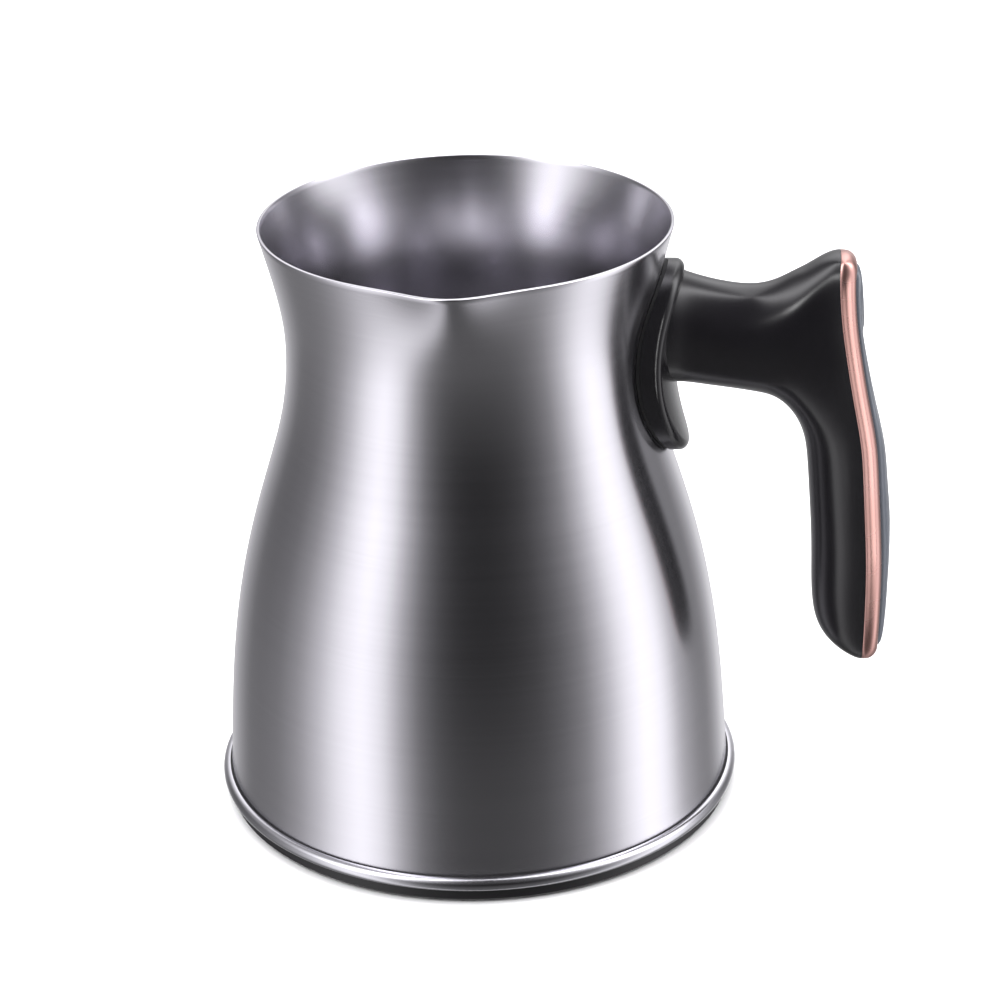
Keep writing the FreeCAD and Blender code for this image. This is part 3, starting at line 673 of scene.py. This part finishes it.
def lines_round(material, place, spacing, length):
    """Noise drawn out round the axis: lines this far apart, fading along this length."""
    x, y, z = add(material, "ShaderNodeSeparateXYZ", {0: place}).outputs
    squares = [
        add(material, "ShaderNodeMath", {0: side, 1: side}, {"operation": "MULTIPLY"}).outputs[0]
        for side in (x, y)
    ]
    radius = add(material, "ShaderNodeMath", {0: squares[0], 1: squares[1]}, {"operation": "ADD"}).outputs[0]
    radius = add(material, "ShaderNodeMath", {0: radius}, {"operation": "SQRT"}).outputs[0]
    across = add(material, "ShaderNodeMath", {0: z, 1: radius}, {"operation": "ADD"}).outputs[0]
    along = [add(material, "ShaderNodeMath", {0: side}, {"operation": "MULTIPLY"}) for side in (x, y)]
    for node in along:
        node.inputs[1].default_value = spacing / length
    line = add(
        material, "ShaderNodeCombineXYZ", {0: along[0].outputs[0], 1: along[1].outputs[0], 2: across},
    ).outputs[0]
    noise = add(
        material, "ShaderNodeTexNoise", {"Vector": line}, Scale=per(spacing), Detail=3.0, Roughness=0.6)
    return noise.outputs["Fac"]


def brushed(name, dark, light, roughness, rough_swing, anisotropic, spacing, length, depth):
    """Steel with scratches round the axis, between two tones of grey."""
    material, place = blank(name)
    fine = lines_round(material, place, spacing, length)
    broad = lines_round(material, place, spacing * BROAD_SPACING, length * BROAD_LENGTH)
    both = add(
        material, "ShaderNodeMix", {2: fine, 3: broad}, {"data_type": "FLOAT"}, Factor=BROAD_SHARE,
    ).outputs[0]
    rough = add(
        material, "ShaderNodeMapRange", {"Value": both},
        To_Min=roughness - rough_swing, To_Max=roughness + rough_swing,
    ).outputs[0]
    bump = add(material, "ShaderNodeBump", {"Height": fine}, Strength=0.35, Distance=depth * MM)
    tangent = add(material, "ShaderNodeTangent", settings={"direction_type": "RADIAL", "axis": "Z"})
    links = {
        "Base Color": two_tones(material, both, dark, light), "Roughness": rough,
        "Normal": bump.outputs[0], "Tangent": tangent.outputs[0],
    }
    return shade(material, links, Metallic=1.0, Anisotropic=anisotropic, Anisotropic_Rotation=ACROSS)


# Stainless steel reflects a light, slightly cool grey. Brushing spreads its highlights wide and soft.
brushed_steel = brushed(
    "stainless steel, brushed round", "#CAC8CE", "#D4D2D8", 0.22, 0.03, 0.7, 0.35, 90, 0.0008)
# The base ring is the same steel, polished first, so its highlight is tighter.
satin_steel = brushed(
    "stainless steel, satin polished", "#BDBCC2", "#CFCED3", 0.2, 0.04, 0.3, 0.35, 60, 0.003)
# Turned posts and bosses keep the lathe's fine rings.
turned_steel = brushed(
    "stainless steel, turned", "#B5B5B9", "#CACACD", 0.28, 0.06, 0.4, 0.4, 20, 0.006)
print("steels:", brushed_steel.name, "|", satin_steel.name, "|", turned_steel.name)

# %% [markdown]
# ### Moulded plastics and rubber
#
# Glossy ABS comes from a polished mould, so it is nearly smooth, with a very faint waviness that
# makes its highlights uneven. Textured polypropylene, PTFE and silicone come from an etched mould:
# a fine grain breaks up their highlights. One function makes them all, with a grain size, a bump
# depth and two near shades of one colour.

# %% Moulded materials
WAVE_FROM = 2.0               # features wider than this, in millimetres, are a waviness and not a grain
CLOUD_SIZE = 18.0
ROUGH_SWING = 0.15


def moulded(name, dark, light, roughness, grain, depth, strength, **more):
    """A moulded surface: a fine grain in its height and roughness, and two near shades."""
    material, place = blank(name)
    detail = 3.0 if grain < WAVE_FROM else 0.0
    fine = add(
        material, "ShaderNodeTexNoise", {"Vector": place}, Scale=per(grain), Detail=detail, Roughness=0.55,
    ).outputs["Fac"]
    cloud = add(
        material, "ShaderNodeTexNoise", {"Vector": place}, Scale=per(CLOUD_SIZE), Detail=2.0,
    ).outputs["Fac"]
    rough = add(
        material, "ShaderNodeMapRange", {"Value": fine},
        To_Min=roughness * (1 - ROUGH_SWING), To_Max=roughness * (1 + ROUGH_SWING),
    ).outputs[0]
    bump = add(material, "ShaderNodeBump", {"Height": fine}, Strength=strength, Distance=depth * MM)
    links = {
        "Base Color": two_tones(material, cloud, dark, light), "Roughness": rough,
        "Normal": bump.outputs[0],
    }
    return shade(material, links, **more)


# ABS from a polished mould: deep black with sharp, slightly wavy highlights.
gloss_black = moulded("ABS, moulded gloss black", "#0D0C0F", "#121114", 0.22, 9.0, 0.05, 0.1, IOR=1.54)
# The back panel is the same plastic in dark blue-grey with a semi-gloss finish.
dark_grey_panel = moulded("ABS, moulded dark grey", "#3F434B", "#4B4F58", 0.34, 0.6, 0.01, 0.3, IOR=1.54)
# Glass-filled polypropylene for the hidden base, with an etched grain.
black_base_plastic = moulded(
    "polypropylene, etched black", "#121114", "#18171A", 0.45, 0.5, 0.01, 0.4, IOR=1.49)
# Copolyester for the whisk: safe with hot milk, evenly matt.
black_whisk_plastic = moulded(
    "copolyester, moulded black", "#1D1D20", "#27272B", 0.36, 0.45, 0.015, 0.4, IOR=1.57)
# Silicone is soft to the eye, with no sharp highlight anywhere: black under the jug, grey in its seals.
black_silicone = moulded("silicone, pressed black", "#161617", "#1E1E1F", 0.62, 0.4, 0.02, 0.4, IOR=1.41)
grey_silicone = moulded("silicone, pressed grey", "#4E4F52", "#5A5B5E", 0.6, 0.4, 0.02, 0.4, IOR=1.41)
# PTFE is waxy and white, and lets a little light in.
white_ptfe = moulded("PTFE, machined", "#E9E8E2", "#F3F2ED", 0.45, 0.3, 0.01, 0.3, IOR=1.36,
                     Subsurface_Weight=0.15, Subsurface_Scale=0.001)
print("moulded finishes ready")

# %% [markdown]
# ### Plated, rolled and cast metals
#
# The trim is ABS with a thin plating of copper, nickel and a rose gold top coat: almost a mirror,
# tinted dusty pink, with the faint waviness of plated plastic. The other metals are hidden inside
# the base and the handle, and each gets its own colour, grain and polish.

# %% Metals without a direction
def metal(name, dark, light, roughness, grain, depth, strength=0.3):
    return moulded(name, dark, light, roughness, grain, depth, strength, Metallic=1.0)


# Plating over a polished moulding: a soft pink mirror that wavers a little.
rose_gold = metal("rose gold plating on ABS", "#C4978F", "#CDA29B", 0.27, 7.0, 0.03, 0.1)
# Drawn wire is bright, so each turn of the coil carries its own small highlight.
spring_steel = metal("spring wire, drawn stainless", "#C4C4C6", "#D2D2D4", 0.18, 0.4, 0.004)
# Rolled ferritic sheet is duller and a little warmer than the jug's steel.
ferritic_steel = metal("ferritic stainless, rolled", "#A9A8A6", "#B6B5B3", 0.36, 0.5, 0.006)
# Rolled aluminium is pale, with a soft sheen and no clear reflection.
aluminium_plate = metal("aluminium, rolled plate", "#C9CACC", "#D8D9DA", 0.4, 0.6, 0.008)
# Nickel is yellower than steel and nearly a mirror.
nickel_magnets = metal("neodymium magnet, nickel plated", "#B9B6AE", "#C6C3BB", 0.16, 1.5, 0.004)
# Zinc gives the screws a bluish grey.
zinc_screws = metal("steel screw, zinc plated", "#B4B8BC", "#C3C7CB", 0.3, 0.5, 0.006)
print("metals ready")

# %% [markdown]
# ### Dress every piece
#
# Each node of the model names a material slot in its record, and each slot has one finish above.
# So the finishes are handed out from the record, and a finish that is missing stops the script.

# %% Hand out the finishes
finishes = {
    "brushed_steel": brushed_steel, "satin_steel": satin_steel, "turned_steel": turned_steel,
    "ferritic_steel": ferritic_steel, "spring_steel": spring_steel, "nickel_magnets": nickel_magnets,
    "aluminium_plate": aluminium_plate, "zinc_screws": zinc_screws, "black_silicone": black_silicone,
    "grey_silicone": grey_silicone, "black_base_plastic": black_base_plastic, "white_ptfe": white_ptfe,
    "black_whisk_plastic": black_whisk_plastic, "gloss_black": gloss_black, "rose_gold": rose_gold,
    "dark_grey_panel": dark_grey_panel,
}
dressed = 0
for subpart in frame["record"]["subparts"]:
    piece = nodes[subpart["node"]]
    piece.data.materials.clear()
    piece.data.materials.append(finishes[subpart["material_slot"]])
    dressed += 1
for piece, slot in (
    (jug_wall, "brushed_steel"), (handle_shell, "gloss_black"), (trim, "rose_gold"),
    (panel, "dark_grey_panel"), (coil, "spring_steel"),
):
    piece.data.materials.clear()
    piece.data.materials.append(finishes[slot])
print("CAD nodes dressed:", dressed, "of", len(nodes))

# %% [markdown]
# ## The studio
#
# Polished and brushed metal shows its surroundings more than itself, so the light is designed as
# what the jug sees. In a studio that is a ring of tall white panels with dark gaps between them:
# upright bright and dark bands on the steel. The world colour is painted that way, by direction
# round the jug. The pale floor is a plain plane that takes a soft contact shadow.

# %% Bands of light round the jug
# Angle round the jug from -Y towards +X, in degrees, and how bright the steel should look there.
bands = [
    (-180, 0.45), (-160, 0.42), (-142, 0.24), (-127, 0.10), (-114, 0.10), (-99, 0.13), (-85, 0.24),
    (-73, 0.46), (-61, 0.80), (-50, 1.00), (-40, 0.78), (-31, 0.34), (-22, 0.11), (-13, 0.04),
    (-5, 0.02), (3, 0.015), (12, 0.015), (22, 0.02), (33, 0.035), (44, 0.08), (55, 0.17), (66, 0.42),
    (76, 0.80), (86, 1.05), (97, 0.95), (110, 0.36), (124, 0.18), (136, 0.14), (148, 0.30),
    (162, 0.55), (180, 0.45),
]
STEEL_REFLECTS = 0.62         # share of the light that the steel gives back
BRIGHTEST = 2.0
COOL = (1.0, 0.995, 1.02)     # the panels are very slightly violet
scene = bpy.context.scene
world = bpy.data.worlds.new("studio")
world.use_nodes = True
world.node_tree.nodes.clear()
scene.world = world
direction = add(world, "ShaderNodeTexCoord").outputs["Generated"]
parts = add(world, "ShaderNodeSeparateXYZ", {0: direction}).outputs
back = add(world, "ShaderNodeMath", {0: parts[1]}, {"operation": "MULTIPLY"})
back.inputs[1].default_value = -1.0
turn = add(world, "ShaderNodeMath", {0: parts[0], 1: back.outputs[0]}, {"operation": "ARCTAN2"}).outputs[0]
share = add(world, "ShaderNodeMapRange", {"Value": turn}, From_Min=-math.pi, From_Max=math.pi).outputs[0]
ramp = add(world, "ShaderNodeValToRGB", {"Fac": share})
stops = ramp.color_ramp.elements
while len(stops) > 1:
    stops.remove(stops[-1])
for i, (angle, bright) in enumerate(bands):
    stop = stops[0] if i == 0 else stops.new((angle + 180) / 360)
    stop.position = (angle + 180) / 360
    level = min(bright / STEEL_REFLECTS, BRIGHTEST)
    stop.color = [level * share_of for share_of in COOL] + [1.0]
print("bands:", len(stops))

# %% [markdown]
# The jug's foot and flared neck also see the table, which throws back a little of every panel, and
# its inside sees the panels' upper halves, where the lamps hang. So the bands fade downwards, over a
# faint glow from the floor, and grow stronger upwards. The camera itself sees plain white.

# %% Light from below and above, and a white backdrop for the camera
def by_height(low, high, at_low, at_high):
    """A value that changes with how far up or down a direction points."""
    return add(
        world, "ShaderNodeMapRange", {"Value": parts[2]},
        From_Min=low, From_Max=high, To_Min=at_low, To_Max=at_high,
    ).outputs[0]


floor_glow = by_height(-0.05, -0.75, 0.0, 0.12)
toward_floor = by_height(-0.5, -0.85, 1.0, 0.55)
toward_top = by_height(0.25, 0.6, 1.0, 3.0)
strength = add(world, "ShaderNodeMath", {0: toward_floor, 1: toward_top}, {"operation": "MULTIPLY"})
banded = add(
    world, "ShaderNodeVectorMath", {0: ramp.outputs["Color"], 1: strength.outputs[0]},
    {"operation": "MULTIPLY"})
lit = add(world, "ShaderNodeVectorMath", {0: banded.outputs[0], 1: floor_glow}, {"operation": "ADD"})
reflected = add(world, "ShaderNodeBackground", {"Color": lit.outputs[0]}, Strength=1.0).outputs[0]
backdrop = add(world, "ShaderNodeBackground", Color=(1, 1, 1, 1), Strength=1.0).outputs[0]
seen = add(world, "ShaderNodeLightPath").outputs["Is Camera Ray"]
mixed = add(world, "ShaderNodeMixShader", {0: seen, 1: reflected, 2: backdrop}).outputs[0]
add(world, "ShaderNodeOutputWorld", {"Surface": mixed})
print("world ready")

# %% [markdown]
# A sweep of matt white paper takes the jug's soft contact shadow. One large softbox overhead lights
# the paper and the handle's upper side; the steel doesn't reflect it, as if it were flagged off.

# %% Floor and the large overhead softbox
start_clean()
bpy.ops.mesh.primitive_plane_add(size=8.0, location=(0, 0, 0))
floor = name_new("floor")
floor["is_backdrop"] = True
floor_paper, place = blank("studio paper, matt white")
fleck = add(floor_paper, "ShaderNodeTexNoise", {"Vector": place}, Scale=per(40.0), Detail=2.0)
paper_tone = two_tones(floor_paper, fleck.outputs["Fac"], "#F4F4F4", "#F7F7F7")
shade(floor_paper, {"Base Color": paper_tone}, Roughness=0.9)
floor.data.materials.append(floor_paper)
floor.visible_glossy = False


def softbox(name, place, aim, width, height, power, glossy):
    """A rectangular light that faces a point. It is never seen by the camera."""
    data = bpy.data.lights.new(name, "AREA")
    data.shape = "RECTANGLE"
    data.size, data.size_y = width, height
    data.energy = power
    lamp = bpy.data.objects.new(name, data)
    scene.collection.objects.link(lamp)
    lamp.location = place
    lamp.rotation_euler = (Vector(aim) - Vector(place)).to_track_quat("-Z", "Y").to_euler()
    lamp.visible_camera = False
    lamp.visible_glossy = glossy
    return lamp


overhead = softbox("overhead softbox", (0, -0.1, 1.6), (0, 0, 0), 2.0, 2.0, 46.0, False)
print("floor and", overhead.name)

# %% [markdown]
# The handle gets lamps of its own, as a studio flags a lamp off the steel: light linking
# lets a lamp reach only the pieces it is meant for. Two large lamps light the trim's flank and its
# rounded edge, tall strips draw the long soft streaks down the grip and the pad's edge, a small
# lamp makes the highlight on the horn, and one behind parts the back from the background.

# %% Lamps for the handle
def handle_lamp(name, pieces, place, aim, width, height, power):
    """A softbox that lights only these pieces."""
    lamp = softbox(name, place, aim, width, height, power, True)
    receivers = bpy.data.collections.new("lit by the " + name)
    for piece in pieces:
        receivers.objects.link(piece)
    lamp.light_linking.receiver_collection = receivers
    return lamp


GRIP, HORN, PAD, BACK = (0.09, 0, 0.09), (0.08, 0, 0.13), (0.05, 0, 0.115), (0.1, 0, 0.09)
handle_lamp("trim strip", [trim], (0.1, -0.75, -0.1), GRIP, 0.45, 0.6, 1.1)
handle_lamp("trim side lamp", [trim], (0.6, -0.5, 0.0), GRIP, 0.5, 0.6, 2.0)
handle_lamp("grip strip", [handle_shell], (-0.3, -0.75, 0.0), GRIP, 0.08, 0.5, 0.5)
handle_lamp("pad strip", [nodes["handle_pad"]], (0.35, -0.75, 0.1), PAD, 0.1, 1.0, 2.6)
handle_lamp("horn lamp", [handle_shell], (-0.1, -0.65, 0.42), HORN, 0.1, 0.1, 0.35)
handle_lamp("back lamp", [handle_shell, panel], (0.7, 0.2, 0.25), BACK, 0.3, 0.6, 2.0)
print("handle lamps ready")

# %% [markdown]
# The camera stands 77 cm from the jug, a little towards the handle, with a long lens. It looks down
# by 25 degrees, so the rim shows as an ellipse with a view of the inside.

# %% Camera
CAMERA_PLACE = Vector((58.43, -667.91, 385.81)) * MM
CAMERA_LENS = 107.126
AIM, DOWN, ROLL = math.radians(4.421), math.radians(24.767), math.radians(-1.2842)
camera_data = bpy.data.cameras.new("camera")
camera_data.sensor_width = 36.0
camera_data.lens = CAMERA_LENS
camera = bpy.data.objects.new("camera", camera_data)
scene.collection.objects.link(camera)
camera.matrix_world = (
    Matrix.Translation(CAMERA_PLACE) @ Matrix.Rotation(AIM, 4, "Z")
    @ Matrix.Rotation(math.pi / 2 - DOWN, 4, "X") @ Matrix.Rotation(ROLL, 4, "Z")
)
scene.camera = camera
scene.view_settings.view_transform = "Standard"
print("camera at", [round(v, 3) for v in camera.matrix_world.translation])

# %% [markdown]
# Last, the outer box of the finished scene is measured and its size printed, since the drawn pieces
# have to stay within the size of the real ones.

# %% Measure the finished scene's box, then finish
low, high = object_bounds()
print("visual box in mm:", [round(v / MM, 1) for v in high - low])
